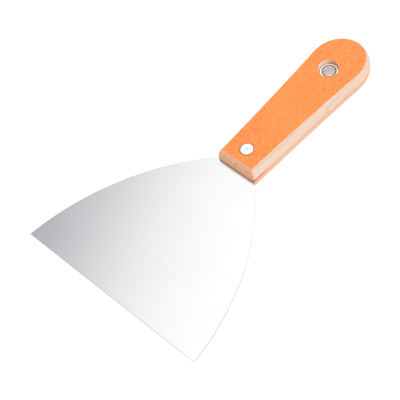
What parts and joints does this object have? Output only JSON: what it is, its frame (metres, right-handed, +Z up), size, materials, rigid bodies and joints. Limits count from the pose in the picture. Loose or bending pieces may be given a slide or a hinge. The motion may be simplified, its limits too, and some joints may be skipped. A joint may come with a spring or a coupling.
{
  "type": "putty knife",
  "caption": "Flexible putty knife: a thin fan-shaped steel blade riveted between two wooden handle scales with painted faces, and a hollow rivet near the butt to hang it by.",
  "frame": {"origin": "bottom centre of the whole tool as it lies flat: midway across the blade, midway between working edge and butt, at the lowest point of the lower rivet head", "axes": "+X across the blade, +Y from the working edge to the butt of the handle, +Z up, out of the upper scale's painted face"},
  "size_m": [0.125, 0.205, 0.0161],
  "materials": {
    "blade_steel": "fine satin grind",
    "painted_wood": "thin orange paint over fine grain, eggshell",
    "bare_wood": "sanded pale hardwood, no coat",
    "rivet_metal": "polished",
    "eyelet_steel": "nickel plated, polished"
  },
  "bodies": {
    "root": {"blade": "blade_steel", "upper_scale": "painted_wood", "lower_scale": "painted_wood", "front_rivet_tube": "rivet_metal", "front_rivet_pin": "rivet_metal", "hang_eyelet": "eyelet_steel"}
  },
  "joints": []
}
